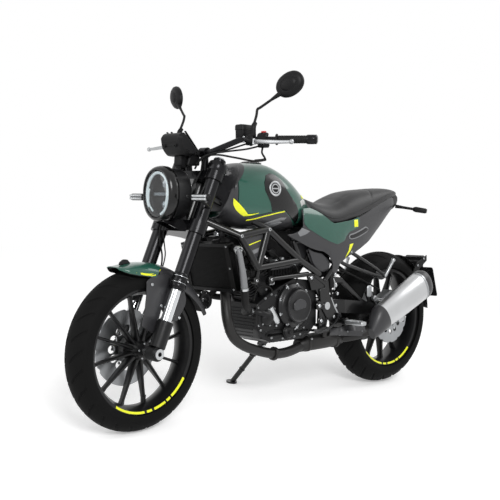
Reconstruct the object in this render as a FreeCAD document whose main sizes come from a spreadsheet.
import FreeCAD, Part
import math
import os
import Sketcher
from FreeCAD import Placement, Rotation, Vector

# A solo roadster motorcycle of the 250 class, parked on its side stand.
# Everything is modelled upright first: X forward, Y to the exhaust side, Z up, with the
# origin on the ground midway between the axles. The stance then leans and steers it.
# All lengths are millimetres and all angles degrees.

sizes = {
    # Stance
    "wheelbase": 1380,
    "lean_angle": 10,
    "steer_angle": 4,
    "rake": 23.5,
    "trail": 93,
    "steering_lock": 35,
    "running_room": 5.5,
    # Tyres: outer radius, width and the round of the tread
    "front_tyre_radius": 292.9,
    "front_tyre_width": 110,
    "front_tyre_crown": 60,
    "rear_tyre_radius": 305.9,
    "rear_tyre_width": 150,
    "rear_tyre_crown": 85,
    "tyre_wall": 9,
    "bead_seat_radius": 215.9,
    "bead_width": 9,
    # Cast wheels
    "rim_edge_radius": 225.7,
    "rim_wall": 7,
    "flange_thickness": 6,
    "front_rim_width": 94,
    "rear_rim_width": 124,
    "well_depth": 12,
    "spoke_count": 12,
    "spoke_thickness": 11,
    "spoke_tip_depth": 26,
    "spoke_root_depth": 58,
    "front_hub_radius": 34,
    "rear_hub_radius": 46,
    "running_fit": 0.4,
    "seat_gap": 0.3,
    # Axles
    "front_axle_radius": 12.5,
    "front_axle_bore": 8,
    "rear_axle_radius": 12,
    "axle_nut_radius": 19,
    "axle_nut_length": 10,
    # Brakes and final drive
    "front_disc_radius": 140,
    "front_disc_offset": 62,
    "rear_disc_radius": 120,
    "rear_disc_offset": 70,
    "disc_thickness": 5,
    "disc_petals": 12,
    "petal_depth": 5,
    "caliper_length": 92,
    "caliper_depth": 46,
    "rear_sprocket_radius": 104,
    "front_sprocket_radius": 30,
    "sprocket_thickness": 6,
    "chain_offset": 92,
    "chain_width": 15,
    "chain_height": 14,
    # Front fork and yokes
    "fork_spacing": 200,
    "hose_line_radius": 3.2,
    "fork_outer_radius": 27,
    "fork_inner_radius": 20.5,
    "fork_outer_low": 246,
    "fork_foot_radius": 29,
    "fork_foot_depth": 40,
    "fork_foot_top": 118,
    "fork_top": 736,
    "fork_cap_height": 18,
    "fork_cap_radius": 24,
    "lower_yoke_low": 455,
    "lower_yoke_thickness": 46,
    "upper_yoke_low": 668,
    "upper_yoke_thickness": 34,
    "stem_radius": 14,
    "head_tube_radius": 30,
    # Handlebar and what it carries
    "bar_radius": 11,
    "bar_centre_height": 1012,
    "bar_centre_ahead": 418,
    "bar_clamp_half": 62,
    "bar_bend_offset": 165,
    "grip_height": 1061,
    "grip_inner": 265,
    "grip_end": 415,
    "grip_inner_ahead": 290,
    "grip_end_ahead": 205,
    "grip_radius": 17,
    "mirror_radius": 47,
    "mirror_offset": 312,
    "mirror_height": 1267,
    "mirror_ahead": 244,
    # Lamps
    "headlamp_width": 172,
    "headlamp_height": 205,
    "headlamp_centre_height": 853,
    "headlamp_face_ahead": 600,
    "headlamp_depth": 128,
    "headlamp_wall": 5,
    "indicator_radius": 15,
    "indicator_offset": 171,
    # Front mudguard
    "mudguard_gap": 17,
    "mudguard_thickness": 4,
    "mudguard_half_width": 70,
    # Frame
    "frame_tube_radius": 14,
    "subframe_tube_radius": 11,
    "frame_half_width": 118,
    "pivot_plate_thickness": 12,
    "pivot_plate_inner": 101,
    "swingarm_pivot_back": 190,
    "swingarm_pivot_height": 398,
    "swingarm_pivot_radius": 19,
    "arm_thickness": 26,
    "drive_arm_inner": 104,
    "exhaust_arm_inner": 93,
    # Engine
    "engine_half_width": 98,
    "engine_bottom": 270,
    "clutch_cover_radius": 78,
    "clutch_cover_face": 142,
    "generator_cover_radius": 70,
    "cylinder_lean": 24,
    "cylinder_half_width": 72,
    "fin_count": 7,
    "fin_thickness": 4,
    # Cooling
    "radiator_width": 280,
    "radiator_height": 190,
    "radiator_thickness": 32,
    "hose_radius": 14,
    "horn_radius": 36,
    # Exhaust
    "header_radius": 20,
    "collector_half_width": 46,
    "collector_half_height": 38,
    "silencer_offset": 186,
    "silencer_half_width": 52,
    "silencer_half_height": 73,
    "silencer_length": 245,
    "silencer_rise": 24.5,
    # Tank, seat and tail
    "tank_front": 300,
    "tank_rear": -154,
    "tank_half_width": 146,
    "tank_top": 990,
    "tank_bottom": 716,
    "fuel_cap_radius": 36,
    "panel_thickness": 5,
    "shroud_half_width": 152,
    "seat_front": -96,
    "seat_rear": -742,
    "seat_half_width": 118,
    "tail_rear": -848,
    "tail_half_width": 128,
    # Rear guard and plate
    "plate_width": 180,
    "plate_height": 150,
    "rear_guard_gap": 14,
    "guard_arm_thickness": 4,
    # Rests
    "peg_offset": 168,
    "peg_length": 88,
    "rest_plate_thickness": 8,
    # Side stand
    "stand_pivot_back": 40,
    "stand_pivot_offset": 118,
    "stand_pivot_height": 226,
    "stand_splay": 38,
    "stand_sweep": 12,
    "stand_leg_radius": 11,
    "stand_foot_radius": 24,
    "stand_foot_thickness": 7,
    "stand_pin_radius": 7,
    "stand_plate_thickness": 10,
}

doc = FreeCAD.newDocument("Roadster")
sheet = doc.addObject("Spreadsheet::Sheet", "Sizes")
for line, (alias, value) in enumerate(sizes.items(), start=1):
    sheet.set("A%d" % line, alias)
    sheet.set("B%d" % line, str(value))
    sheet.setAlias("B%d" % line, alias)
doc.recompute()


# A number that remembers which cells it came from, so that one sum gives both the value
# for a shape made in code and the expression for a bound property.
class Size(float):
    def __new__(cls, value, text=None):
        made = float.__new__(cls, value)
        made.text = text or "(%s)" % repr(float(value))
        return made

    def __add__(self, other):
        return combined(self, "+", other, float(self) + float(other))

    def __radd__(self, other):
        return combined(other, "+", self, float(other) + float(self))

    def __sub__(self, other):
        return combined(self, "-", other, float(self) - float(other))

    def __rsub__(self, other):
        return combined(other, "-", self, float(other) - float(self))

    def __mul__(self, other):
        return combined(self, "*", other, float(self) * float(other))

    def __rmul__(self, other):
        return combined(other, "*", self, float(other) * float(self))

    def __truediv__(self, other):
        return combined(self, "/", other, float(self) / float(other))

    def __neg__(self):
        return Size(-float(self), "(0 - %s)" % self.text)


def asSize(value):
    return value if isinstance(value, Size) else Size(value)


def combined(left, sign, right, value):
    return Size(value, "(%s %s %s)" % (asSize(left).text, sign, asSize(right).text))


def root(value):
    return Size(math.sqrt(value), "sqrt(%s)" % value.text)


class Sheet:
    def __getattr__(self, alias):
        return Size(sheet.get(alias), "Sizes.%s" % alias)


dim = Sheet()
across = Vector(0, 1, 0)
upward = Vector(0, 0, 1)
ahead = Vector(1, 0, 0)
nodes = []


def bind(item, **values):
    for name, value in values.items():
        item.setExpression(name, asSize(value).text)


def register(item, name, placement):
    item.Label = name
    item.Placement = placement
    nodes.append(item)
    return item


def shaped(name, placement, solids):
    item = doc.addObject("Part::Feature", name)
    item.Shape = Part.Compound(solids)
    return register(item, name, placement)


def grouped(name, placement, members):
    item = doc.addObject("Part::Compound", name)
    item.Links = members
    return register(item, name, placement)


# Sketches and bodies

def newBody(name):
    return doc.addObject("PartDesign::Body", name + "_body")


def originItem(body, role):
    return next(item for item in body.Origin.OriginFeatures if item.Role == role)


# Corners are (across, up) for a straight run to that corner, or (across, up, radius) for an
# arc to it: a positive radius turns to the left, a negative one to the right.
def arcTo(start, end, radius):
    chord = end - start
    middle = (start + end) * 0.5
    side = Vector(-chord.y, chord.x, 0).normalize()
    rise = math.sqrt(max(radius * radius - chord.Length ** 2 / 4, 0))
    centre = middle + side * math.copysign(rise, radius)
    first, last = (start, end) if radius > 0 else (end, start)
    angles = [math.atan2(point.y - centre.y, point.x - centre.x) for point in (first, last)]
    circle = Part.Circle(centre, upward, abs(radius))
    return Part.ArcOfCircle(circle, angles[0], angles[1])


def addLoop(sketch, corners):
    pieces = []
    for number, end in enumerate(corners):
        start = corners[number - 1]
        first = Vector(float(start[0]), float(start[1]), 0)
        last = Vector(float(end[0]), float(end[1]), 0)
        if len(end) == 3:
            piece = sketch.addGeometry(arcTo(first, last, float(end[2])), False)
            pieces.append((piece, 1 if end[2] > 0 else 2, 2 if end[2] > 0 else 1))
        else:
            piece = sketch.addGeometry(Part.LineSegment(first, last), False)
            pieces.append((piece, 1, 2))
    rules = []
    for number, end in enumerate(corners):
        piece, _, tail = pieces[number]
        following, head, _ = pieces[(number + 1) % len(corners)]
        sketch.addConstraint(Sketcher.Constraint("Coincident", piece, tail, following, head))
        rules.append(("DistanceX", (-1, 1, piece, tail), end[0]))
        rules.append(("DistanceY", (-1, 1, piece, tail), end[1]))
        if len(end) == 3:
            rules.append(("Radius", (piece,), abs(asSize(end[2]))))
    addRules(sketch, rules)


def addRules(sketch, rules):
    for kind, where, value in rules:
        rule = sketch.addConstraint(Sketcher.Constraint(kind, *where, float(value)))
        sketch.setExpression("Constraints[%d]" % rule, asSize(value).text)


def addCircle(sketch, centreX, centreY, radius):
    centre = Vector(float(centreX), float(centreY), 0)
    piece = sketch.addGeometry(Part.Circle(centre, upward, float(radius)), False)
    addRules(sketch, [("DistanceX", (-1, 1, piece, 3), centreX),
                      ("DistanceY", (-1, 1, piece, 3), centreY),
                      ("Radius", (piece,), radius)])


def newSketch(body, role):
    sketch = body.newObject("Sketcher::SketchObject", "Outline")
    sketch.AttachmentSupport = [(originItem(body, role), "")]
    sketch.MapMode = "FlatFace"
    return sketch


def turned(body, role, corners):
    sketch = newSketch(body, role)
    addLoop(sketch, corners)
    feature = body.newObject("PartDesign::Revolution", "Turned")
    feature.Profile = sketch
    feature.ReferenceAxis = (sketch, ["V_Axis"])
    feature.Angle = 360
    return feature


def raised(body, sketch, length, bothWays=True):
    feature = body.newObject("PartDesign::Pad", "Raised")
    feature.Profile = sketch
    feature.Midplane = bothWays
    bind(feature, Length=length)
    return feature


def cutThrough(body, sketch, length):
    feature = body.newObject("PartDesign::Pocket", "Cut")
    feature.Profile = sketch
    feature.Midplane = True
    bind(feature, Length=length)
    return feature


def repeated(body, feature, count):
    pattern = body.newObject("PartDesign::PolarPattern", "Repeated")
    pattern.Originals = [feature]
    pattern.Axis = (originItem(body, "Y_Axis"), [""])
    pattern.Angle = 360
    bind(pattern, Occurrences=count)
    body.Tip = pattern
    return pattern


# Solids made in code

def rod(start, end, radius):
    return Part.makeCylinder(radius, (end - start).Length, start, end - start)


def block(low, high):
    span = high - low
    return Part.makeBox(span.x, span.y, span.z, low)


def fused(solids):
    whole = solids[0]
    if len(solids) > 1:
        whole = whole.fuse(solids[1:])
    return whole.removeSplitter()


def mirrored(shape):
    return shape.mirror(Vector(0, 0, 0), across)


def flipped(point):
    return Vector(point.x, -point.y, point.z)


# A route of straight runs joined by tangent arcs of one bend radius, each arc held to
# what its two runs allow.
def route(points, bend):
    edges = []
    last = points[0]
    for before, corner, after in zip(points, points[1:], points[2:]):
        back = (before - corner).normalize()
        on = (after - corner).normalize()
        half = back.getAngle(on) / 2
        limit = 0.49 * min((before - corner).Length, (after - corner).Length)
        reach = min(bend / math.tan(half), limit)
        start = corner + back * reach
        end = corner + on * reach
        middle = corner + (back + on).normalize() * (reach / math.cos(half) - reach * math.tan(half))
        edges.append(Part.LineSegment(last, start).toShape())
        edges.append(Part.Arc(start, middle, end).toShape())
        last = end
    edges.append(Part.LineSegment(last, points[-1]).toShape())
    return Part.Wire(edges)


def tube(points, radius, bend):
    path = route(points, bend)
    circle = Part.Circle(points[0], points[1] - points[0], radius)
    return path.makePipeShell([Part.Wire([circle.toShape()])], True, True)


# A hose bends as gently as its own runs allow, which is wider than five of its diameters.
def cordTube(points, radius):
    tightest = min(cordBend(*three) for three in zip(points, points[1:], points[2:]))
    print("tightest bend of the hose %.0f mm" % tightest)
    edges = []
    last = points[0]
    for before, corner, after in zip(points, points[1:], points[2:]):
        back = (before - corner).normalize()
        on = (after - corner).normalize()
        half = back.getAngle(on) / 2
        reach = 0.45 * min((before - corner).Length, (after - corner).Length)
        bow = reach / math.cos(half) - reach * math.tan(half)
        middle = corner + (back + on).normalize() * bow
        edges.append(Part.LineSegment(last, corner + back * reach).toShape())
        edges.append(Part.Arc(corner + back * reach, middle, corner + on * reach).toShape())
        last = corner + on * reach
    edges.append(Part.LineSegment(last, points[-1]).toShape())
    path = Part.Wire(edges)
    circle = Part.Circle(points[0], points[1] - points[0], radius)
    solid = path.makePipeShell([Part.Wire([circle.toShape()])], True, True)
    section = math.pi * radius * radius
    print("hose %.0f mm long, volume over section %.0f mm" % (path.Length, solid.Volume / section))
    return solid


def cordBend(before, corner, after):
    half = (before - corner).getAngle(after - corner) / 2
    return 0.45 * min((before - corner).Length, (after - corner).Length) * math.tan(half)


# A closed rounded ring for a loft. Squareness 2 is an ellipse and more is boxier.
def ring(centre, sideways, up, halfWidth, rise, drop, squareness, points=20):
    spots = []
    for step in range(points):
        angle = 2 * math.pi * step / points
        cosine, sine = math.cos(angle), math.sin(angle)
        wide = halfWidth * math.copysign(abs(cosine) ** (2 / squareness), cosine)
        tall = (rise if sine > 0 else drop) * math.copysign(abs(sine) ** (2 / squareness), sine)
        spots.append(centre + sideways * wide + up * tall)
    curve = Part.BSplineCurve()
    curve.interpolate(Points=spots, PeriodicFlag=True)
    return Part.Wire([curve.toShape()])


def loft(rings, ruled=False):
    solid = Part.makeLoft(rings, True, ruled)
    if solid.Volume < 0:
        solid.reverse()
    return solid


# A plate seen from the side: its outline in X and Z, between two places across the bike.
def sidePlate(outline, inner, outer):
    spots = [Vector(x, inner, z) for x, z in outline]
    face = Part.Face(Part.makePolygon(spots + spots[:1]))
    return face.extrude(Vector(0, outer - inner, 0))


def smoothPlate(outline, inner, outer):
    curve = Part.BSplineCurve()
    curve.interpolate(Points=[Vector(x, inner, z) for x, z in outline], PeriodicFlag=True)
    face = Part.Face(Part.Wire([curve.toShape()]))
    return face.extrude(Vector(0, outer - inner, 0))


def between(low, high, share):
    return low + (high - low) * share


# Stance

rakeSine = math.sin(math.radians(dim.rake))
rakeCosine = math.cos(math.radians(dim.rake))
leanSine = math.sin(math.radians(dim.lean_angle))
leanCosine = math.cos(math.radians(dim.lean_angle))
frontAxle = Vector(dim.wheelbase / 2, 0, dim.front_tyre_radius)
rearAxle = Vector(-dim.wheelbase / 2, 0, dim.rear_tyre_radius)
steeringFoot = Vector(frontAxle.x + dim.trail, 0, 0)
steeringWay = Vector(-rakeSine, 0, rakeCosine)
forkOffset = dim.front_tyre_radius * rakeSine - dim.trail * rakeCosine
steeringAcross = Vector(rakeCosine, 0, rakeSine)

# The round tread rises a little as it rolls over to the lean, so the machine is set back
# on the ground by that much.
crownLift = dim.rear_tyre_crown * (1 - leanCosine)
parked = Placement(Vector(0, 0, crownLift), Rotation(ahead, dim.lean_angle))


def aboutSteering(angle):
    turn = Rotation(steeringWay, angle)
    return Placement(Vector(0, 0, 0), turn, steeringFoot)


steered = parked.multiply(aboutSteering(dim.steer_angle))


def placedAt(frame, spot, rotation=Rotation()):
    return frame.multiply(Placement(spot, rotation))


# A point on the fork's own axis line, so far above the axle along it.
def alongFork(reach, offset=0.0):
    return frontAxle + steeringWay * reach + across * offset


# A point on the steering axis level with that point of the fork.
def alongStem(reach):
    return frontAxle + steeringWay * reach - steeringAcross * forkOffset


forkTurn = Rotation(across, -dim.rake)


# Wheels

def wheelRim(name, frame, spot, width, hubRadius, bore, hubLeft, hubRight, turn):
    half = width / 2
    edge = dim.rim_edge_radius
    bead = dim.bead_seat_radius
    seat = half - dim.flange_thickness
    well = bead - dim.well_depth
    inner = well - dim.rim_wall
    body = newBody(name)
    barrel = [
        (edge, half), (bead - dim.rim_wall, half), (inner, half * 0.3), (inner, -half * 0.3),
        (bead - dim.rim_wall, -half), (edge, -half), (edge, -seat), (bead, 2 - seat),
        (bead, -half * 0.5), (well, -half * 0.32), (well, half * 0.32), (bead, half * 0.5),
        (bead, seat - 2), (edge, seat),
    ]
    turned(body, "XY_Plane", barrel)
    rootDepth = dim.spoke_root_depth / 2
    tipDepth = dim.spoke_tip_depth / 2
    reach = inner + 2
    start = hubRadius * 0.6
    blade = newSketch(body, "XY_Plane")
    addLoop(blade, [(start, rootDepth), (start, -rootDepth), (hubRadius, -rootDepth),
                    (reach, -tipDepth), (reach, tipDepth), (hubRadius, rootDepth)])
    spoke = raised(body, blade, dim.spoke_thickness)
    repeated(body, spoke, dim.spoke_count)
    hub = [
        (bore, hubLeft), (hubRadius * 0.8, hubLeft), (hubRadius, rootDepth * 0.8),
        (hubRadius, -rootDepth * 0.8), (hubRadius * 0.8, -hubRight), (bore, -hubRight),
    ]
    turned(body, "XY_Plane", hub)
    opening = newSketch(body, "XZ_Plane")
    addCircle(opening, 0, 0, bore)
    cutThrough(body, opening, width * 2)
    register(body, name, placedAt(frame, spot, Rotation(across, turn)))


def tyre(name, frame, spot, radius, width, crown, rimWidth):
    half = width / 2
    bead = dim.bead_seat_radius + dim.seat_gap
    edge = dim.rim_edge_radius + dim.seat_gap
    beadOut = rimWidth / 2 - dim.flange_thickness - 2 - dim.seat_gap
    lipOut = beadOut + 2
    beadIn = beadOut - dim.bead_width
    wide = radius - (crown - root(crown * crown - half * half))
    wall = dim.tyre_wall
    innerHalf = half - wall
    innerCrown = crown - wall
    innerWide = radius - wall - (innerCrown - root(innerCrown * innerCrown - innerHalf * innerHalf))
    sidewall = (wide - edge) * 0.9
    body = newBody(name)
    section = [
        (bead, beadOut), (edge, lipOut), (wide, half, -sidewall), (wide, -half, -crown),
        (edge, -lipOut, -sidewall), (bead, -beadOut), (bead, -beadIn),
        (innerWide, -innerHalf), (innerWide, innerHalf, innerCrown), (bead, beadIn),
    ]
    turned(body, "XY_Plane", section)
    register(body, name, placedAt(frame, spot))


def brakeDisc(name, frame, spot, radius, inner, offset):
    body = newBody(name)
    face = newSketch(body, "XZ_Plane")
    addCircle(face, 0, 0, radius)
    addCircle(face, 0, 0, inner)
    raised(body, face, dim.disc_thickness)
    notch = newSketch(body, "XZ_Plane")
    addCircle(notch, radius + dim.petal_depth * 1.6, 0, dim.petal_depth * 2.6)
    wave = cutThrough(body, notch, dim.disc_thickness * 2)
    repeated(body, wave, dim.disc_petals)
    window = newSketch(body, "XZ_Plane")
    middle = between(inner, radius, 0.38)
    addCircle(window, middle, 0, (radius - inner) * 0.13)
    slot = cutThrough(body, window, dim.disc_thickness * 2)
    repeated(body, slot, dim.disc_petals)
    register(body, name, placedAt(frame, spot + across * offset))


def axle(name, frame, spot, radius, bore, leftSeat, rightSeat):
    nutRadius = dim.axle_nut_radius
    nut = dim.axle_nut_length
    left = leftSeat + dim.seat_gap
    right = -rightSeat - dim.seat_gap
    body = newBody(name)
    section = [(bore, left + nut), (nutRadius, left + nut), (nutRadius, left), (radius, left),
               (radius, right), (nutRadius, right), (nutRadius, right - nut), (bore, right - nut)]
    turned(body, "XY_Plane", section)
    register(body, name, placedAt(frame, spot))


def makeWheels():
    frontHubRight = dim.front_disc_offset - dim.disc_thickness / 2
    wheelRim("front_rim", steered, frontAxle, dim.front_rim_width, dim.front_hub_radius,
             dim.front_axle_radius + dim.running_fit, 46, frontHubRight, 10)
    tyre("front_tyre", steered, frontAxle, dim.front_tyre_radius, dim.front_tyre_width,
         dim.front_tyre_crown, dim.front_rim_width)
    brakeDisc("front_disc", steered, frontAxle, dim.front_disc_radius,
              dim.front_hub_radius * 0.75, -dim.front_disc_offset)
    rearHubLeft = dim.rear_disc_offset - dim.disc_thickness / 2
    rearHubRight = dim.chain_offset - dim.sprocket_thickness / 2
    wheelRim("rear_rim", parked, rearAxle, dim.rear_rim_width, dim.rear_hub_radius,
             dim.rear_axle_radius + dim.running_fit, rearHubLeft, rearHubRight, 5)
    tyre("rear_tyre", parked, rearAxle, dim.rear_tyre_radius, dim.rear_tyre_width,
         dim.rear_tyre_crown, dim.rear_rim_width)
    brakeDisc("rear_disc", parked, rearAxle, dim.rear_disc_radius,
              dim.rear_hub_radius * 0.75, dim.rear_disc_offset)
    brakeDisc("rear_sprocket", parked, rearAxle, dim.rear_sprocket_radius,
              dim.rear_hub_radius * 0.75, -dim.chain_offset)


# Front fork, yokes and handlebar

legOffset = dim.fork_spacing / 2


def turnedLeg(name, side, section):
    body = newBody(name + side)
    turned(body, "XZ_Plane", section)
    sign = 1 if side == "_left" else -1
    body.Placement = Placement(alongFork(0, legOffset * sign), forkTurn)
    return body


def forkTubes():
    outer = dim.fork_outer_radius
    inner = dim.fork_inner_radius + dim.seat_gap
    low = dim.fork_outer_low
    top = dim.fork_top
    neck = dim.fork_cap_radius
    section = [(0, low + 60), (inner, low + 60), (inner, low), (outer - 1, low), (outer, low + 26),
               (outer, top - 6), (neck, top), (neck, top + dim.fork_cap_height - 3),
               (neck - 3, top + dim.fork_cap_height), (0, top + dim.fork_cap_height)]
    grouped("fork_tubes", steered, [turnedLeg("fork_tube", side, section)
                                    for side in ("_left", "_right")])


def forkFeet():
    inner = dim.fork_inner_radius
    low = dim.fork_foot_depth
    section = [(0, low + dim.seat_gap), (inner, low + dim.seat_gap),
               (inner, dim.fork_outer_low + 58), (0, dim.fork_outer_low + 58)]
    grouped("fork_sliders", steered, [turnedLeg("fork_slider", side, section)
                                      for side in ("_left", "_right")])
    feet = []
    for sign in (1, -1):
        offset = legOffset * sign
        foot = rod(alongFork(22, offset), alongFork(dim.fork_foot_top, offset),
                   dim.fork_foot_radius)
        boss = rod(frontAxle + across * sign * (legOffset - 26),
                   frontAxle + across * sign * (legOffset + 17), dim.fork_foot_radius - 2)
        solids = [foot, boss]
        if sign < 0:
            solids.append(caliperLug())
        bore = rod(alongFork(low, offset), alongFork(dim.fork_foot_top + 10, offset),
                   inner + dim.seat_gap)
        hole = rod(frontAxle + across * sign * (legOffset - 40),
                   frontAxle + across * sign * (legOffset + 40),
                   dim.front_axle_radius + dim.seat_gap)
        feet.append(fused(solids).cut([bore, hole]))
    shaped("fork_feet", steered, feet)
    axle("front_axle", steered, frontAxle, dim.front_axle_radius, dim.front_axle_bore,
         legOffset + 17, legOffset + 17)


# The front caliper bolts to this lug behind the right leg.
def caliperLug():
    face = -dim.front_disc_offset - caliperOutside - dim.seat_gap
    middle = frontCaliperSpot()
    leg = alongFork(70)
    top = alongFork(dim.fork_foot_top - 6)
    outline = [(leg.x - 4, leg.z - 26), (top.x - 4, top.z - 4), (middle.x - 4, middle.z + 26),
               (middle.x - 20, middle.z - 8), (middle.x + 2, middle.z - 30)]
    return sidePlate(outline, face - 9, face)


def yokePlate(low, thickness, legGrip, stemGrip):
    parts = []
    for sign in (1, -1):
        parts.append(rod(alongFork(low, legOffset * sign),
                         alongFork(low + thickness, legOffset * sign), legGrip))
    parts.append(rod(alongStem(low), alongStem(low + thickness), stemGrip))
    corners = [alongFork(low, legOffset) + steeringAcross * legGrip * 0.6,
               alongFork(low, -legOffset) + steeringAcross * legGrip * 0.6,
               alongFork(low, -legOffset) - steeringAcross * legGrip * 0.6,
               alongStem(low) - across * stemGrip * 0.9 - steeringAcross * stemGrip * 0.5,
               alongStem(low) + across * stemGrip * 0.9 - steeringAcross * stemGrip * 0.5,
               alongFork(low, legOffset) - steeringAcross * legGrip * 0.6]
    web = Part.Face(Part.makePolygon(corners + corners[:1])).extrude(steeringWay * thickness)
    plate = fused(parts + [web])
    for sign in (1, -1):
        plate = plate.cut(rod(alongFork(low - 10, legOffset * sign),
                              alongFork(low + thickness + 10, legOffset * sign),
                              dim.fork_outer_radius + dim.seat_gap))
    return plate


def yokes():
    low = yokePlate(dim.lower_yoke_low, dim.lower_yoke_thickness, 36, 32)
    high = yokePlate(dim.upper_yoke_low, dim.upper_yoke_thickness, 34, 30)
    stem = rod(alongStem(dim.lower_yoke_low + 4),
               alongStem(dim.upper_yoke_low + dim.upper_yoke_thickness + 10), dim.stem_radius)
    nut = rod(alongStem(dim.upper_yoke_low + dim.upper_yoke_thickness),
              alongStem(dim.upper_yoke_low + dim.upper_yoke_thickness + 12), 19)
    risers = []
    for sign in (1, -1):
        foot = alongStem(dim.upper_yoke_low + 10) + across * sign * 46 + steeringAcross * 22
        top = Vector(dim.bar_centre_ahead, sign * 46, dim.bar_centre_height)
        risers.append(rod(foot, top, 14))
        risers.append(rod(top - across * 17, top + across * 17, dim.bar_radius + 8))
    outline = [(484, 744), (500, 722), (520, 722), (596, 752), (596, 800), (500, 800)]
    arms = [sidePlate(outline, *sorted((sign * 24, sign * 30))).cut(headlampForm(dim.seat_gap))
            for sign in (1, -1)]
    solid = fused([low, high, stem, nut] + risers + arms)
    bar = rod(Vector(dim.bar_centre_ahead, -90, dim.bar_centre_height),
              Vector(dim.bar_centre_ahead, 90, dim.bar_centre_height),
              dim.bar_radius + dim.seat_gap)
    shaped("yokes", steered, [solid.cut(bar)])


def barPoints():
    half = [Vector(dim.bar_centre_ahead, dim.bar_clamp_half + 14, dim.bar_centre_height),
            barAt(dim.bar_bend_offset), barAt(dim.grip_end)]
    return [flipped(point) for point in reversed(half)] + half


def barAt(offset):
    share = (offset - dim.grip_inner) / (dim.grip_end - dim.grip_inner)
    return Vector(between(dim.grip_inner_ahead, dim.grip_end_ahead, share), offset,
                  dim.grip_height)


def handlebar():
    shaped("handlebar", steered, [tube(barPoints(), dim.bar_radius, 40)])
    solids = []
    start, end = barPoints()[-2], barPoints()[-1]
    way = (end - start).normalize()
    sleeve = rod(end - way * 128, end - way * 6, dim.grip_radius)
    weight = rod(end - way * 7, end + way * 26, dim.grip_radius - 1)
    flange = rod(end - way * 134, end - way * 127, dim.grip_radius + 6)
    grip = fused([sleeve, weight, flange]).cut(rod(end - way * 150, end + way * 0.4,
                                                   dim.bar_radius + dim.seat_gap))
    solids = [grip, mirrored(grip)]
    shaped("grips", steered, solids)


# Front mudguard: arched rows round the wheel, each at an angle from straight ahead.

def archRow(angle, radius, halfWidth, drop, thickness, centre):
    turn = math.radians(angle)
    out = Vector(math.cos(turn), 0, math.sin(turn))

    def at(wide, reach):
        return centre + out * reach + across * wide

    slim = halfWidth - thickness
    outer = Part.Arc(at(halfWidth, radius - drop), at(0, radius), at(-halfWidth, radius - drop))
    inner = Part.Arc(at(-slim, radius - drop), at(0, radius - thickness), at(slim, radius - drop))
    lips = [Part.LineSegment(at(-halfWidth, radius - drop), at(-slim, radius - drop)),
            Part.LineSegment(at(slim, radius - drop), at(halfWidth, radius - drop))]
    return Part.Wire([outer.toShape(), lips[0].toShape(), inner.toShape(), lips[1].toShape()])


def frontMudguard():
    radius = dim.front_tyre_radius + dim.mudguard_gap + dim.mudguard_thickness
    half = dim.mudguard_half_width
    rows = [(63, 6, 0.62, 12), (72, 2, 0.9, 26), (90, 0, 1, 44), (110, 0, 1, 60),
            (130, 0, 1, 48), (150, 0, 0.97, 34), (157, 2, 0.93, 26)]
    shell = loft([archRow(angle, radius + lift, half * share, drop, dim.mudguard_thickness,
                          frontAxle) for angle, lift, share, drop in rows])
    gap = dim.seat_gap
    stays = []
    for sign in (1, -1):
        inner, outer = sorted((sign * (half + gap), sign * (half + gap + 5)))
        outline = [(676, 560), (610, 572), (545, 545), (596, 462), (650, 438), (655, 460)]
        stays.append(sidePlate(outline, inner, outer))
    plates = fused([stays[0]]), fused([stays[1]])
    legs = [rod(alongFork(60, legOffset * sign), alongFork(dim.fork_outer_low + 120, legOffset * sign),
                dim.fork_outer_radius + dim.seat_gap) for sign in (1, -1)]
    shaped("front_mudguard", steered, [shell])
    shaped("mudguard_stays", steered, [plate.cut(leg) for plate, leg in zip(plates, legs)])


caliperInside = dim.disc_thickness / 2 + dim.running_room + 9
caliperOutside = dim.disc_thickness / 2 + dim.running_room + 17
frontCaliperAngle = math.radians(152)


def frontCaliperSpot():
    reach = dim.front_disc_radius - 16
    return frontAxle + Vector(math.cos(frontCaliperAngle), 0, math.sin(frontCaliperAngle)) * reach


def frontCaliper():
    body = caliper(frontAxle, frontCaliperSpot(), -dim.front_disc_offset, -1)
    leg = rod(alongFork(0, -legOffset), alongFork(200, -legOffset),
              dim.fork_foot_radius + dim.seat_gap)
    shaped("front_caliper", steered, [body.cut(leg)])


# A block over the disc's edge, with the slot that the disc runs in.
def caliper(centre, middle, offset, side):
    out = (middle - centre).normalize()
    along = Vector(-out.z, 0, out.x)
    gap = dim.disc_thickness / 2 + dim.running_room
    length = dim.caliper_length / 2
    depth = dim.caliper_depth / 2
    sides = sorted((offset - side * caliperInside, offset + side * caliperOutside))
    corners = [middle + along * (length * a) + out * (depth * b)
               for a, b in ((-1, -0.6), (-0.7, -1), (0.7, -1), (1, -0.6), (1, 0.7), (0.75, 1.1),
                            (-0.75, 1.1), (-1, 0.7))]
    body = sidePlate([(corner.x, corner.z) for corner in corners], sides[0], sides[1])
    slotOut = dim.running_room + 18
    slot = [middle + along * (length * a * 1.2) + out * b
            for a, b in ((-1, -depth * 2), (1, -depth * 2), (1, slotOut), (-1, slotOut))]
    room = sidePlate([(corner.x, corner.z) for corner in slot], offset - gap, offset + gap)
    return body.cut(room)


# Mirrors, controls, instrument and lamps on the steering head

def mirrors():
    foot = barAt(206) + upward * (20 + 1 + dim.seat_gap)
    bend = Vector(302, 202, 1173)
    centre = Vector(dim.mirror_ahead, dim.mirror_offset, dim.mirror_height)
    facing = Vector(-0.96, -0.18, 0.02).normalize()
    rim = dim.mirror_radius
    head = fused([rod(centre - facing * 8, centre + facing * 4, rim),
                  Part.makeCone(rim, rim * 0.66, 12, centre - facing * 8, facing * -1),
                  rod(centre - facing * 19, centre - facing * 26, rim * 0.42)])
    stalk = tube([foot, bend, centre - facing * 14], 6, 24)
    boss = rod(foot, foot + upward * 16, 11)
    mirror = fused([head, stalk, boss])
    shaped("mirrors", steered, [mirror, mirrored(mirror)])


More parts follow.
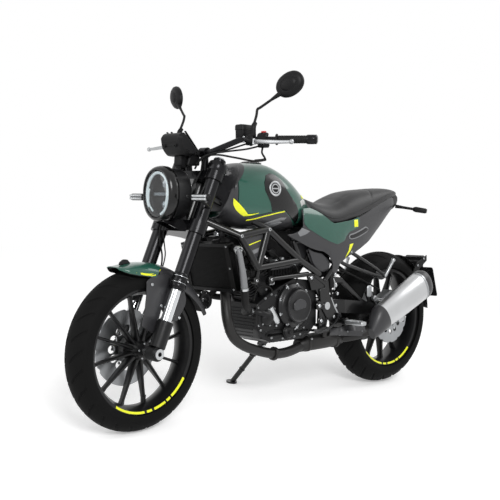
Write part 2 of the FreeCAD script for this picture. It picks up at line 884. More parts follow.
def handControls():
    solids = []
    for sign in (1, -1):
        start, end = barAt(196), barAt(254)
        hinge = Vector(end.x + 44, end.y, end.z - 8)
        knuckle = Vector(hinge.x - 10, hinge.y + 66, hinge.z - 5)
        tip = Vector(end.x + 10, dim.grip_end + 6, end.z - 16)
        parts = [rod(start, end, 20), rod(end - across * 14 + ahead * 6, hinge, 10),
                 Part.makeSphere(10, hinge), rod(hinge, knuckle, 6.5),
                 Part.makeSphere(6.5, knuckle), rod(knuckle, tip, 6.5), Part.makeSphere(9, tip)]
        if sign > 0:
            foot = Vector(start.x + 22, 176, start.z + 14)
            parts.append(rod(Vector(start.x + 6, 206, start.z + 4), foot, 9))
            parts.append(block(Vector(262, 130, 1079), Vector(352, 174, 1118)))
        bore = rod(barAt(120), barAt(320), dim.bar_radius + dim.seat_gap)
        side = fused(parts).cut(bore)
        solids.append(side if sign > 0 else mirrored(side))
    shaped("hand_controls", steered, solids)


def instrument():
    outline = [(584, 1056), (470, 1078), (414, 1034), (441, 1026), (470, 1030), (549, 1000)]
    body = sidePlate(outline, -62, 62)
    stem = sidePlate([(470, 1032), (500, 1020), (500, 962), (478, 962)], -16, 16)
    shaped("instrument", steered, [fused([body, stem])])


headlampRows = [(0, 1), (-18, 1.0), (-54, 0.95), (-98, 0.72)]


def headlampForm(swell, front=0):
    half = dim.headlamp_width / 2
    tall = dim.headlamp_height / 2
    rows = [(front, 1)] + headlampRows[1:] + [(-dim.headlamp_depth - min(swell, 0), 0.36)]
    return loft([ring(Vector(dim.headlamp_face_ahead + back, 0, dim.headlamp_centre_height), across,
                      upward, half * share + swell, tall * share + swell, tall * share + swell,
                      2.2) for back, share in rows])


def headlamp():
    wall = dim.headlamp_wall
    face = dim.headlamp_face_ahead
    middle = dim.headlamp_centre_height
    half = dim.headlamp_width / 2
    tall = dim.headlamp_height / 2
    shaped("headlamp_shell", steered, [headlampForm(0).cut(headlampForm(-wall, 14))])
    glass = loft([ring(Vector(face + back, 0, middle), across, upward, half * share,
                       tall * share, tall * share, 2.2)
                  for back, share in ((-14, 1), (-4, 1), (2, 0.94), (7, 0.8))])
    shaped("headlamp_lens", steered, [glass.common(headlampForm(-wall - dim.seat_gap, 14))])


def frontIndicators():
    solids = []
    for sign in (1, -1):
        root_ = alongFork(560, sign * (legOffset + dim.fork_outer_radius))
        centre = Vector(560, sign * dim.indicator_offset, 842)
        lamp = rod(centre - ahead * 26, centre + ahead * 12, dim.indicator_radius)
        stalk = rod(root_ - across * sign * 12, centre, 5)
        leg = rod(alongFork(500, sign * legOffset), alongFork(640, sign * legOffset),
                  dim.fork_outer_radius + dim.seat_gap)
        solids.append(fused([lamp, stalk]).cut(leg))
    shaped("front_indicators", steered, solids)


def brakeHose():
    points = [Vector(434, -54, 910), Vector(440, -52, 862), Vector(474, -58, 812),
              Vector(526, -58, 768), Vector(546, -58, 716), Vector(538, -60, 664),
              Vector(512, -78, 620), Vector(502, -96, 572), Vector(516, -100, 520),
              Vector(544, -98, 476), Vector(570, -90, 438), Vector(580, -84, 404)]
    shaped("brake_hose", steered, [cordTube(points, dim.hose_line_radius)])


# Frame and swingarm

pivot = Vector(-dim.swingarm_pivot_back, 0, dim.swingarm_pivot_height)


headLow = alongStem(dim.lower_yoke_low + dim.lower_yoke_thickness + 3)
headHigh = alongStem(dim.upper_yoke_low - 3)


def mirroredStruts(start, end, radius):
    solids = []
    for sign in (1, -1):
        first = Vector(start[0], start[1] * sign, start[2])
        last = Vector(end[0], end[1] * sign, end[2])
        solids += [rod(first, last, radius), Part.makeSphere(radius, first),
                   Part.makeSphere(radius, last)]
    return solids


# The tubes of the trellis and the seat frame. With extra they are the room that
# pieces beside them leave.
def frameTubes(extra=0):
    half = dim.frame_half_width
    big = dim.frame_tube_radius + extra
    small = dim.subframe_tube_radius + extra
    upper = (between(headLow.x, headHigh.x, 0.8) - 14, 16, between(headLow.z, headHigh.z, 0.8))
    lower = (between(headLow.x, headHigh.x, 0.2) - 14, 16, between(headLow.z, headHigh.z, 0.2))
    front = (299, half, 698)
    top = (152, half, 722)
    bottom = (205, half, 573)
    middle = (-29, half, 596)
    plate = (-150, half - 8, 535)
    seatFront = (-10, half - 16, 668)
    seatRear = (-640, 66, 812)
    brace = (-455, 82, 742)
    solids = []
    for start, end, radius in ((upper, top, big), (lower, front, big), (front, top, big),
                               (front, bottom, big), (top, bottom, big), (top, middle, big),
                               (bottom, middle, big), (middle, plate, big),
                               (middle, seatFront, small), (seatFront, seatRear, small),
                               ((-190, half - 8, 505), brace, small)):
        solids += mirroredStruts(start, end, radius)
    for x, y, z in ((seatRear[0], 66, seatRear[2]), (-300, 90, 734)):
        solids.append(rod(Vector(x, -y, z), Vector(x, y, z), small))
    solids.append(rod(headLow, headHigh, dim.head_tube_radius + extra))
    return solids


tubeSeat = fused(frameTubes(dim.seat_gap))

# The crankcase is cut back beside the chain, to this face.
engineDriveFace = dim.chain_offset - 18


def frame():
    outline = [(-82, 545), (-211, 501), (-224, 398), (-196, 300), (-152, 286), (-152, 340),
               (-160, 430), (-132, 468), (-106, 468), (-90, 520)]
    inner = dim.pivot_plate_inner
    outer = inner + dim.pivot_plate_thickness
    parts = []
    for sign, seat in ((1, dim.engine_half_width), (-1, engineDriveFace)):
        sides = sorted((sign * inner, sign * outer))
        parts.append(sidePlate(outline, sides[0], sides[1]))
        rear = Vector(-119, 0, 479)
        parts.append(rod(rear + across * sign * (seat + dim.seat_gap), rear + across * sign * outer,
                         10))
        front = Vector(205, 0, 573)
        parts.append(rod(front + across * sign * (dim.cylinder_half_width + dim.seat_gap),
                         front + across * sign * dim.frame_half_width, 12))
    solid = fused(frameTubes() + parts)
    solid = solid.cut(rod(headLow - steeringWay * 10, headHigh + steeringWay * 10,
                          dim.stem_radius + dim.running_fit))
    solid = solid.cut(rod(pivot - across * 200, pivot + across * 200,
                          dim.swingarm_pivot_radius * 0.5))
    shaped("frame", parked, [solid])


def boxRow(centre, halfWide, up, down):
    corners = [centre + across * halfWide + upward * up, centre - across * halfWide + upward * up,
               centre - across * halfWide - upward * down,
               centre + across * halfWide - upward * down]
    return Part.makePolygon(corners + corners[:1])


def swingarm():
    half = dim.arm_thickness / 2
    solids = [rod(pivot - across * (dim.pivot_plate_inner - 1),
                  pivot + across * (dim.pivot_plate_inner - 1), dim.swingarm_pivot_radius)]
    for sign, inner in ((1, dim.exhaust_arm_inner), (-1, dim.drive_arm_inner)):
        rows = [(pivot.x, 78, pivot.z, 20, 22), (pivot.x - 55, 80, pivot.z - 4, 24, 26),
                (pivot.x - 120, inner + half, pivot.z - 8, 26, 32),
                (pivot.x - 300, inner + half, pivot.z - 28, 24, 30),
                (rearAxle.x + 60, inner + half, rearAxle.z + 4, 24, 24),
                (rearAxle.x - 46, inner + half, rearAxle.z, 21, 21)]
        solids.append(loft([boxRow(Vector(x, sign * wide, z), half, up, down)
                            for x, wide, z, up, down in rows], True))
    bridge = block(Vector(pivot.x - 150, -112, pivot.z - 30), Vector(pivot.x - 108, 100, pivot.z + 8))
    solid = fused(solids + [bridge])
    solid = solid.cut(rod(pivot - across * 200, pivot + across * 200,
                          dim.swingarm_pivot_radius * 0.5))
    slot = rod(rearAxle - across * 200, rearAxle + across * 200,
               dim.rear_axle_radius + dim.seat_gap)
    shaped("swingarm", parked, [solid.cut(slot)])
    bolt = rod(pivot - across * (dim.pivot_plate_inner + 26),
               pivot + across * (dim.pivot_plate_inner + 26), dim.swingarm_pivot_radius * 0.5 - dim.seat_gap)
    heads = [rod(pivot + across * sign * (dim.pivot_plate_inner + dim.pivot_plate_thickness + dim.seat_gap),
                 pivot + across * sign * (dim.pivot_plate_inner + 26), dim.swingarm_pivot_radius * 0.85)
             for sign in (1, -1)]
    shaped("swingarm_pivot", parked, [fused([bolt] + heads)])
    guard = dim.guard_arm_thickness + dim.seat_gap
    axle("rear_axle", parked, rearAxle, dim.rear_axle_radius, asSize(0),
         dim.exhaust_arm_inner + dim.arm_thickness + guard,
         dim.drive_arm_inner + dim.arm_thickness + guard)


def shockAbsorber():
    foot = Vector(-318, 0, dim.swingarm_pivot_height + 8 + 15 + dim.seat_gap)
    top = Vector(-206, 0, 640)
    way = (top - foot).normalize()
    body = rod(foot, top, 16)
    length = (top - foot).Length
    coils = [rod(foot + way * (length * share), foot + way * (length * share + 9), 34)
             for share in (0.2, 0.3, 0.4, 0.5, 0.6, 0.7, 0.8)]
    eyes = [rod(end - across * 18, end + across * 18, 15) for end in (foot, top)]
    shaped("shock_absorber", parked, [fused([body] + coils + eyes)])


# Engine

def crankcase():
    half = dim.engine_half_width
    bottom = dim.engine_bottom
    outline = [(-150, 330), (-150, 455), (-95, 512), (-20, 520), (40, 500), (120, 470), (190, 430),
               (196, 330), (160, bottom + 18), (110, bottom), (-70, bottom), (-110, 290)]
    case = sidePlate(outline, -half, half)
    case = case.cut(rod(pivot - across * 200, pivot + across * 200, 34))
    room = block(Vector(-200, -half - 1, 300), Vector(-50, -engineDriveFace, 520))
    case = case.cut(room)
    bracket = [solid.cut(block(Vector(-200, 1 - half, bottom), Vector(200, half, 600)))
               for solid in standBracket()]
    solid = fused([case] + bracket).cut(standPinHole())
    shaped("crankcase", parked, [solid])


cylinderFoot = Vector(120, 0, 440)
cylinderWay = Vector(math.sin(math.radians(dim.cylinder_lean)), 0,
                     math.cos(math.radians(dim.cylinder_lean)))
cylinderAhead = Vector(cylinderWay.z, 0, -cylinderWay.x)


def slab(low, high, backward, forward, halfWide):
    corners = [cylinderFoot + cylinderWay * low - cylinderAhead * backward - across * halfWide,
               cylinderFoot + cylinderWay * low + cylinderAhead * forward - across * halfWide,
               cylinderFoot + cylinderWay * high + cylinderAhead * forward - across * halfWide,
               cylinderFoot + cylinderWay * high - cylinderAhead * backward - across * halfWide]
    return Part.Face(Part.makePolygon(corners + corners[:1])).extrude(across * halfWide * 2)


def cylinder():
    half = dim.cylinder_half_width
    solids = [slab(-20, 112, 52, 52, half - 10), slab(112, 170, 66, 58, half),
              slab(170, 205, 58, 52, half - 8)]
    pitch = 74 / dim.fin_count
    for number in range(int(dim.fin_count)):
        low = 38 + number * pitch
        solids.append(slab(low, low + dim.fin_thickness, 58, 60, half - 2))
    port = rod(cylinderFoot + cylinderWay * 140 + cylinderAhead * 50,
               cylinderFoot + cylinderWay * 140 + cylinderAhead * 66, dim.header_radius + 8)
    engine = fused(solids + [port])
    outline = [(-150, 330), (-150, 455), (-95, 512), (-20, 520), (40, 500), (120, 470), (190, 430),
               (196, 330)]
    shaped("cylinder", parked, [engine.cut(sidePlate(outline, -200, 200))])


def coverDisc(name, centre, radius, inner, outer, side):
    body = newBody(name)
    depth = outer - inner
    section = [(0, 0), (radius + 12, 0), (radius + 12, depth * 0.3), (radius, depth * 0.55),
               (radius - 4, depth * 0.9), (radius - 12, depth), (radius * 0.6, depth),
               (radius * 0.55, depth - 4), (0, depth - 4)]
    turned(body, "XY_Plane", section)
    rotation = Rotation() if side > 0 else Rotation(ahead, 180)
    spot = Vector(centre[0], side * (inner + dim.seat_gap), centre[1])
    register(body, name, placedAt(parked, spot, rotation))


def engineCovers():
    coverDisc("clutch_cover", (-9, 411), dim.clutch_cover_radius, dim.engine_half_width,
              dim.clutch_cover_face, 1)
    coverDisc("generator_cover", (48, 392), dim.generator_cover_radius, dim.engine_half_width,
              dim.clutch_cover_face - 14, -1)


def radiator():
    half = dim.radiator_width / 2
    foot = Vector(322, 0, 488)
    way = Vector(45, 0, 187).normalize()
    out = Vector(way.z, 0, -way.x)
    height = dim.radiator_height
    deep = dim.radiator_thickness / 2

    def core(low, high, deep_, wide):
        corners = [foot + way * low - out * deep_ - across * wide,
                   foot + way * low + out * deep_ - across * wide,
                   foot + way * high + out * deep_ - across * wide,
                   foot + way * high - out * deep_ - across * wide]
        return Part.Face(Part.makePolygon(corners + corners[:1])).extrude(across * wide * 2)

    solids = [core(0, height, deep * 0.7, half - 20), core(0, height, deep, half)]
    tank = solids[1].cut(core(14, height - 14, deep * 2, half - 22))
    back = 358 - dim.seat_gap
    strap = sidePlate([(322, 490), (330, 490), (back, 468), (back, 440), (back - 4, 440),
                       (back - 4, 460), (322, 478)], -10, 10)
    spout = rod(Vector(350, half - 4, 652), Vector(350, half + 12, 652), dim.hose_radius)
    shaped("radiator", parked, [fused([tank, solids[0], spout, strap])])


def coolantHoses():
    half = dim.radiator_width / 2
    left = tube([Vector(350, half + 12 + dim.seat_gap, 652), Vector(350, half + 36, 652),
                 Vector(324, half + 26, 560), Vector(303, half + 12, 452), Vector(272, 132, 420),
                 Vector(240, 76, 400), Vector(196 + dim.seat_gap, 76, 400)], dim.hose_radius, 30)
    shaped("coolant_hoses", parked, [left])


def horn():
    body = newBody("horn")
    radius = dim.horn_radius
    section = [(0, -14), (radius * 0.7, -14), (radius, -4), (radius, 6), (radius - 5, 9), (0, 6)]
    turned(body, "XZ_Plane", section)
    register(body, "horn", placedAt(parked, Vector(372, 0, 452), Rotation(across, 90)))


# Exhaust

def exhaustPipe():
    port = cylinderFoot + cylinderWay * 140 + cylinderAhead * (66 + dim.seat_gap)
    points = [port, port + cylinderAhead * 36, Vector(306, 36, 440), Vector(338, 58, 372),
              Vector(290, 60, 282), Vector(190, 60, 234), Vector(82, 60, 202), Vector(0, 60, 186),
              Vector(-110, 58, 212)]
    pipe = tube(points, dim.header_radius, 70)
    wide = dim.collector_half_width
    tall = dim.collector_half_height
    rows = [(-98, 22, 22, 212), (-128, wide, tall, 216), (-230, wide + 6, tall + 2, 222),
            (-330, wide, tall, 232), (-362, 24, 24, 238)]
    box = loft([ring(Vector(x, 48, z), across, upward, w, t, t, 2.8) for x, w, t, z in rows])
    tail = tube([Vector(-352, 52, 236), Vector(-392, 92, 246), Vector(-430, 150, 272),
                 silencerFront - silencerWay * 96, silencerFront - silencerWay * 44], 24, 40)
    shaped("exhaust_pipe", parked, [fused([pipe, box, tail])])


riseSine = math.sin(math.radians(dim.silencer_rise))
riseCosine = math.cos(math.radians(dim.silencer_rise))
silencerWay = Vector(-riseCosine, 0, riseSine)
silencerUp = Vector(riseSine, 0, riseCosine)
silencerFront = Vector(-556, dim.silencer_offset, 352)


def canRing(reach, share, squareness=2.3):
    return ring(silencerFront + silencerWay * reach, across, silencerUp,
                dim.silencer_half_width * share, dim.silencer_half_height * share,
                dim.silencer_half_height * share, squareness)


def silencer():
    length = dim.silencer_length
    can = loft([canRing(0, 0.86), canRing(length * 0.5, 0.95), canRing(length, 1)])
    shaped("silencer", parked, [can])
    shaped("silencer_cap", parked, [loft([canRing(length + dim.seat_gap, 1.01),
                                          canRing(length + 26, 1.0),
                                          canRing(length + 48, 0.86)])])
    nose = loft([canRing(-dim.seat_gap, 0.86), canRing(-24, 0.78), canRing(-46, 0.5, 2.1)])
    pipe = rod(silencerFront - silencerWay * 80, silencerFront - silencerWay * 40,
               24 + dim.seat_gap)
    shaped("silencer_nose", parked, [nose.cut(pipe)])


# Tank and panels

def spine(x, low, wideHeight, high, half, squareness):
    return ring(Vector(x, 0, wideHeight), across, upward, half, high - wideHeight,
                wideHeight - low, squareness, 24)


def tankSolid(swell):
    front, back = dim.tank_front, dim.tank_rear
    half, top, low = dim.tank_half_width, dim.tank_top, dim.tank_bottom
    tall = top - low
    rows = [(0.00, 0.80, 0.88, 0.20, 0.55), (0.12, 0.93, 0.95, 0.06, 0.55),
            (0.36, 1.00, 1.00, 0.02, 0.52), (0.61, 0.95, 0.91, 0.00, 0.47),
            (0.82, 0.76, 0.73, 0.02, 0.40), (1.00, 0.50, 0.54, 0.10, 0.34)]
    rings = []
    for along, wide, high, bottom, middle in rows:
        rings.append(spine(between(front, back, along) + (swell if along == 0 else 0),
                           low + tall * bottom - swell, low + tall * middle,
                           low + tall * high + swell, half * wide + swell, 2.5))
    return loft(rings)


def fuelTank():
    tank = tankSolid(0).cut(tubeSeat)
    tank = max(tank.Solids, key=lambda solid: solid.Volume)
    capSpot = Vector(137, 0, dim.tank_top)
    shaped("fuel_tank", parked, [tank])
    body = newBody("fuel_cap")
    radius = dim.fuel_cap_radius
    section = [(0, 0), (radius, 0), (radius, 5), (radius - 4, 8), (radius * 0.5, 9), (0, 9)]
    turned(body, "XZ_Plane", section)
    register(body, "fuel_cap", placedAt(parked, capSpot + upward * dim.seat_gap))


# The room that the left fork tube takes as it turns back to its lock.
def forkSweep():
    solids = []
    for share in (0.25, 0.5, 0.75, 1):
        tube_ = rod(alongFork(dim.fork_outer_low, legOffset), alongFork(dim.fork_top + 40, legOffset),
                    dim.fork_outer_radius + dim.running_room)
        yoke = rod(alongFork(dim.upper_yoke_low, legOffset),
                   alongFork(dim.upper_yoke_low + dim.upper_yoke_thickness, legOffset),
                   34 + dim.running_room)
        turn = aboutSteering(dim.steering_lock * share).toMatrix()
        solids += [tube_.transformGeometry(turn), yoke.transformGeometry(turn)]
    return solids


def tankPanels():
    wall = dim.panel_thickness
    half = dim.shroud_half_width
    rows = [(410, 0.95, 760, 846, 950), (340, 1.0, 730, 850, 975), (240, 1.03, 715, 856, 990),
            (120, 1.02, 700, 850, 1000), (0, 0.99, 694, 838, 975), (-60, 0.92, 700, 826, 940)]
    outer = loft([spine(x, low, mid, high, half * wide, 2.6) for x, wide, low, mid, high in rows])
    inner = loft([spine(x, low + wall, mid, high - wall, half * wide - wall, 2.6)
                  for x, wide, low, mid, high in rows])
    outline = [(345, 960), (397, 872), (398, 812), (383, 770), (318, 726), (272, 716), (194, 736),
               (79, 707), (-30, 722), (-30, 738), (73, 795), (246, 774), (312, 836), (313, 871),
               (303, 917), (285, 950)]
    prism = sidePlate(outline, 60, 200)
    panel = outer.cut(inner).common(prism).cut([tankSolid(0.3), tubeSeat] + forkSweep())
    panel = max(panel.Solids, key=lambda solid: solid.Volume)
    shaped("tank_panels", parked, [panel, mirrored(panel)])


def shrouds():
    outline = [(286, 690), (166, 710), (208, 594)]
    half = dim.frame_half_width
    plate = sidePlate(outline, half - 6, half - 1).cut(tubeSeat)
    plate = max(plate.Solids, key=lambda solid: solid.Volume)
    shaped("shrouds", parked, [plate, mirrored(plate)])


# Seat and tail

def seat():
    front, rear, half = dim.seat_front, dim.seat_rear, dim.seat_half_width
    rows = [(0.00, 0.62, 800, 838, 862), (0.07, 0.80, 782, 822, 852), (0.20, 1.00, 758, 800, 838),
            (0.36, 1.05, 762, 806, 846), (0.48, 1.02, 780, 822, 872), (0.62, 0.95, 812, 848, 897),
            (0.85, 0.72, 850, 876, 906), (1.00, 0.40, 868, 884, 900)]
    rings = [spine(between(front, rear, along), low, mid, high, half * wide, 2.4)
             for along, wide, low, mid, high in rows]
    cushion = loft(rings).cut(tankSolid(0.6))
    cushion = max(cushion.Solids, key=lambda solid: solid.Volume)
    shaped("seat", parked, [cushion])


def tailShell(shrink):
    rows = [(-40, 0.98, 668, 760, 850), (-120, 1.04, 655, 745, 845), (-220, 1.04, 640, 735, 830),
            (-340, 0.98, 640, 730, 835), (-470, 0.9, 668, 770, 860), (-590, 0.78, 740, 815, 880),
            (-700, 0.6, 810, 850, 893), (-800, 0.3, 845, 866, 892), (dim.tail_rear, 0.1, 856, 868, 880)]
    rings = []
    for x, wide, low, mid, high in rows:
        share = min(shrink, (high - low) * 0.2)
        rings.append(spine(x, low + share, mid, high - share, dim.tail_half_width * wide - share, 2.8))
    return loft(rings)


def tailPanels():
    outline = [(-46, 838), (-118, 794), (-212, 744), (-308, 752), (-408, 773), (-513, 810),
               (-628, 852), (-700, 872), (-800, 884), (-846, 868), (-688, 836), (-659, 790),
               (-585, 735), (-478, 668), (-375, 629), (-296, 665), (-244, 660), (-82, 716)]
    prism = sidePlate(outline, 12, 220)
    shell = tailShell(0).cut(tailShell(dim.panel_thickness)).common(prism)
    panel = max(shell.Solids, key=lambda solid: solid.Volume)
    seatShape = [node for node in nodes if node.Label == "seat"][0]
    core = seatShape.Shape.copy()
    core.Placement = Placement()
    panel = panel.cut([core, mirrored(core), tankSolid(1), tubeSeat])
    panel = max(panel.Solids, key=lambda solid: solid.Volume)
    shaped("tail_panels", parked, [panel, mirrored(panel)])


def underTray():
    tray = fused([block(Vector(-150, -72, 600), Vector(-20, 72, 712)),
                  block(Vector(-480, -60, 700), Vector(-150, 60, 742))])
    tray = tray.cut([rod(Vector(-206, -40, 640), Vector(-206, 40, 640), 44), tubeSeat])
    tray = max(tray.Solids, key=lambda solid: solid.Volume)
    shaped("air_box", parked, [tray])


def tailLamp():
    high = Vector(-1000, 48, 582)
    lamp = block(Vector(high.x, -high.y, 562), Vector(-970, high.y, high.z))
    shaped("tail_lamp", parked, [lamp])


def rearIndicators():
    solids = []
    for sign in (1, -1):
        centre = Vector(-812, sign * 162, 805)
        lamp = rod(centre - ahead * 12, centre + ahead * 26, dim.indicator_radius)
        stalk = rod(Vector(-768, sign * 42, 858), centre, 5)
        solids.append(fused([lamp, stalk]).cut(tailShell(-dim.seat_gap)))
    shaped("rear_indicators", parked, solids)


# Drive chain, rear guard and plate

def chainBand(extra):
    room = dim.running_room + dim.chain_height / 2
    big = dim.rear_sprocket_radius + room + extra
    small = dim.front_sprocket_radius + room + extra
    front = Vector(-100, 0, 402)
    span = rearAxle - front
    distance = math.hypot(span.x, span.z)
    heading = math.atan2(span.z, span.x)
    turn = math.acos((small - big) / distance)

    def at(centre, radius, angle):
        return Vector(centre.x + radius * math.cos(angle), 0, centre.z + radius * math.sin(angle))

    a, b = at(front, small, heading + turn), at(rearAxle, big, heading + turn)
    c, d = at(rearAxle, big, heading - turn), at(front, small, heading - turn)
    edges = [Part.LineSegment(a, b), Part.Arc(b, at(rearAxle, big, heading), c),
             Part.LineSegment(c, d), Part.Arc(d, at(front, small, heading + math.pi), a)]
    face = Part.Face(Part.Wire([edge.toShape() for edge in edges]))
    face.translate(across * (-dim.chain_offset - dim.chain_width / 2))
    return face.extrude(across * dim.chain_width)


def chain():
    half = dim.chain_height / 2
    band = chainBand(half).cut(chainBand(-half))
    front = Vector(-100, -dim.chain_offset, 402)
    wheel = rod(front - across * 3, front + across * 3, dim.front_sprocket_radius + dim.running_room - dim.seat_gap)
    shaft = rod(front - across * 5, front + across * (18 - dim.seat_gap), 14)
    shaped("drive_chain", parked, [band, fused([wheel, shaft])])


def rearGuard():
    radius = dim.rear_tyre_radius + dim.rear_guard_gap + 4
    rows = [(118, 0, 0.95, 26), (135, 0, 1, 30), (158, 0, 1, 30), (176, 0, 0.92, 24)]
    shell = loft([archRow(angle, radius + lift, 78 * share, drop, 4, rearAxle)
                  for angle, lift, share, drop in rows])
    arms = []
    outline = [(rearAxle.x + 24, rearAxle.z - 8), (rearAxle.x + 20, rearAxle.z + 20),
               (-826, 556), (-905, 592), (-905, 566), (-850, 530), (-726, 322), (-706, 284)]
    thick = dim.guard_arm_thickness
    left = dim.exhaust_arm_inner + dim.arm_thickness + dim.seat_gap
    right = dim.drive_arm_inner + dim.arm_thickness + dim.seat_gap
    arms = [sidePlate(outline, left, left + thick), sidePlate(outline, -right - thick, -right)]
    bridge = block(Vector(-903, -right - thick, 568), Vector(-880, left + thick, 584))
    hole = rod(rearAxle - across * 200, rearAxle + across * 200,
               dim.rear_axle_radius + dim.seat_gap)
    hanger = sidePlate([(-890, 584), (-962, 570), (-968, 562 - dim.seat_gap),
                        (-1000, 562 - dim.seat_gap), (-1000, 526), (-990, 526),
                        (-990, 548), (-890, 568)], -36, 36)
    drop = sidePlate([(-994, 540), (-1004.3, 528), (-1015.4, 490), (-1006, 490)], -12, 12)
    guard = fused([shell, bridge, hanger, drop] + arms).cut(hole)
    shaped("rear_guard", parked, [guard])


def plateHolder():
    tilt = Vector(-0.28, 0, -0.96).normalize()
    out = Vector(tilt.z, 0, -tilt.x)
    top = Vector(-1004.6, 0, 528)
    half = dim.plate_width / 2
    corners = [top - across * half, top + across * half,
               top + across * half + tilt * dim.plate_height,
               top - across * half + tilt * dim.plate_height]
    plate = Part.Face(Part.makePolygon(corners + corners[:1])).extrude(out * 3)
    shaped("number_plate", parked, [plate])


def rearCaliper():
    angle = math.radians(64)
    reach = dim.rear_disc_radius - 16
    middle = rearAxle + Vector(math.cos(angle), 0, math.sin(angle)) * reach
    body = caliper(rearAxle, middle, dim.rear_disc_offset, 1)
    outline = [(rearAxle.x - 22, rearAxle.z - 6), (rearAxle.x + 18, rearAxle.z - 18),
               (rearAxle.x + 96, rearAxle.z + 88), (rearAxle.x + 8, rearAxle.z + 118)]
    bracket = sidePlate(outline, dim.exhaust_arm_inner - dim.seat_gap - 7,
                        dim.exhaust_arm_inner - dim.seat_gap)
    hole = rod(rearAxle - across * 200, rearAxle + across * 200,
               dim.rear_axle_radius + dim.seat_gap)
    shaped("rear_caliper", parked, [fused([body, bracket]).cut(hole)])


# Rests, stand and small pieces

def footRests():
    solids = []
    face = dim.frame_half_width + 2
    thick = dim.rest_plate_thickness
    for sign in (1, -1):
        outline = [(-150, 470), (-196, 476), (-262, 350), (-300, 318), (-290, 300), (-236, 306),
                   (-160, 380)]
        sides = sorted((sign * (dim.pivot_plate_inner + dim.pivot_plate_thickness + dim.seat_gap),
                        sign * (dim.pivot_plate_inner + dim.pivot_plate_thickness + thick)))
        plate = sidePlate(outline, sides[0], sides[1])
        start = dim.pivot_plate_inner + dim.pivot_plate_thickness + thick - 2
        peg = rod(Vector(-276, sign * start, 326), Vector(-276, sign * (dim.peg_offset + dim.peg_length), 330), 12)
        solids.append(fused([plate, peg]).cut(rod(pivot - across * 220, pivot + across * 220, 22)))
    shaped("foot_rests", parked, solids)


def pillionRests():
    solids = []
    for sign in (1, -1):
        sides = sorted((sign * 107, sign * 113))
        outline = [(-262, 640), (-345, 640), (-470, 560), (-600, 520), (-604, 498), (-575, 488),
                   (-440, 520), (-280, 560)]
        plate = sidePlate(outline, sides[0], sides[1])
        peg = rod(Vector(-588, sign * 113, 505), Vector(-628, sign * 132, 580), 11)
        whole = fused([plate, peg]).cut(tubeSeat)
        solids.append(max(whole.Solids, key=lambda solid: solid.Volume))
    shaped("pillion_rests", parked, solids)


# Side stand: its own frame has Z along the pivot pin and X along the leg as it stands.

standPivot = Vector(-dim.stand_pivot_back, -dim.stand_pivot_offset, dim.stand_pivot_height)
splaySine = math.sin(math.radians(dim.stand_splay))
splayCosine = math.cos(math.radians(dim.stand_splay))
sweepSine = math.sin(math.radians(dim.stand_sweep))
sweepCosine = math.cos(math.radians(dim.stand_sweep))
standPin = Vector(0, splayCosine, -splaySine)
standWay = Vector(sweepSine, -splaySine * sweepCosine, -splayCosine * sweepCosine)
groundUp = Vector(0, leanSine, leanCosine)


def standLength():
    above = standPivot.dot(groundUp) + crownLift
    return above / -standWay.dot(groundUp)


def standPinHole():
    half = dim.stand_plate_thickness * 3
    return rod(standPivot - standPin * half, standPivot + standPin * half,
               dim.stand_pin_radius + dim.running_fit)


def standBracket():
    gap = dim.stand_plate_thickness / 2 + 1
    solids = []
    for sign in (1, -1):
        start = standPivot + standPin * sign * gap
        end = standPivot + standPin * sign * (gap + 5)
        solids.append(rod(start, end, 17))
        corner = start if sign > 0 else end
        arm = [Vector(20, 0, 0), Vector(60, 0, 70), Vector(-10, 0, 70), Vector(-17, 0, 0)]
        up = standPin.cross(ahead)
        up = up if up.z > 0 else up * -1
        low = standPivot + standPin * (sign * gap if sign > 0 else -(gap + 5))
        spots = [low + ahead * -15, low + ahead * 15, low + ahead * 34 + up * 66,
                 low - ahead * 40 + up * 66]
        solids.append(Part.Face(Part.makePolygon(spots + spots[:1])).extrude(standPin * 5))
    up = standPin.cross(ahead)
    up = up if up.z > 0 else up * -1
    base = standPivot - standPin * (gap + 5) + up * 46
    spots = [base - ahead * 40, base + ahead * 34, base + ahead * 34 + up * 22,
             base - ahead * 40 + up * 22]
    solids.append(Part.Face(Part.makePolygon(spots + spots[:1])).extrude(standPin * 2 * (gap + 5)))
    return solids


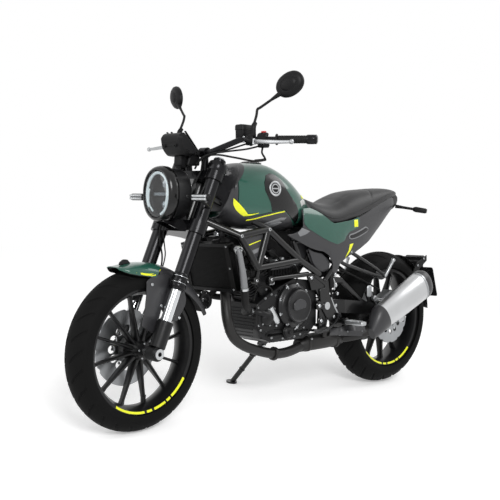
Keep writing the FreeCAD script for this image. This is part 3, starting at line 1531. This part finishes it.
def sideStand():
    length = standLength()
    thick = dim.stand_plate_thickness / 2
    head = rod(standPivot - standPin * thick, standPivot + standPin * thick, 16)
    leg = rod(standPivot + standWay * 10, standPivot + standWay * (length - 6), dim.stand_leg_radius)
    floor = standPivot + standWay * length
    foot = rod(floor, floor + groundUp * dim.stand_foot_thickness, dim.stand_foot_radius)
    keep = leg.cut(rod(standPivot - standPin * 60, standPivot - standPin * thick, 22)) \
              .cut(rod(standPivot + standPin * 60, standPivot + standPin * thick, 22))
    low = rod(floor, floor - groundUp * 60, 200)
    solid = fused([head, keep, foot]).cut(low)
    solid = solid.cut(rod(standPivot - standPin * 40, standPivot + standPin * 40,
                          dim.stand_pin_radius + dim.running_fit))
    shaped("side_stand", parked, [solid])
    gap = dim.stand_plate_thickness / 2 + 6
    pin = fused([rod(standPivot - standPin * (gap + 5), standPivot + standPin * (gap + 5),
                     dim.stand_pin_radius),
                 rod(standPivot - standPin * (gap + 5), standPivot - standPin * (gap + dim.seat_gap), 11)])
    shaped("stand_bolt", parked, [pin])

makeWheels()
forkTubes()
forkFeet()
yokes()
handlebar()
frontMudguard()
frontCaliper()
mirrors()
handControls()
instrument()
headlamp()
frontIndicators()
brakeHose()
frame()
swingarm()
shockAbsorber()
crankcase()
cylinder()
engineCovers()
radiator()
coolantHoses()
horn()
exhaustPipe()
silencer()
fuelTank()
tankPanels()
shrouds()
seat()
tailPanels()
underTray()
tailLamp()
rearIndicators()
chain()
rearGuard()
plateHolder()
rearCaliper()
footRests()
pillionRests()
sideStand()

doc.recompute()
os.makedirs("parts", exist_ok=True)
for item in doc.Objects:
    if "Invalid" in item.State or "Error" in item.State:
        raise RuntimeError("%s failed: %s" % (item.Label, item.State))
bad = [item.Label for item in nodes if item.Shape.isNull() or not item.Shape.isValid()]
if bad:
    raise RuntimeError("no valid shape: %s" % ", ".join(bad))
for item in nodes:
    item.Shape.exportStep("parts/%s.step" % item.Label)
    box = item.Shape.BoundBox
    print("%-18s %2d solids  x %6.0f %6.0f  y %6.0f %6.0f  z %6.0f %6.0f" % (
        item.Label, len(item.Shape.Solids), box.XMin, box.XMax, box.YMin, box.YMax,
        box.ZMin, box.ZMax))
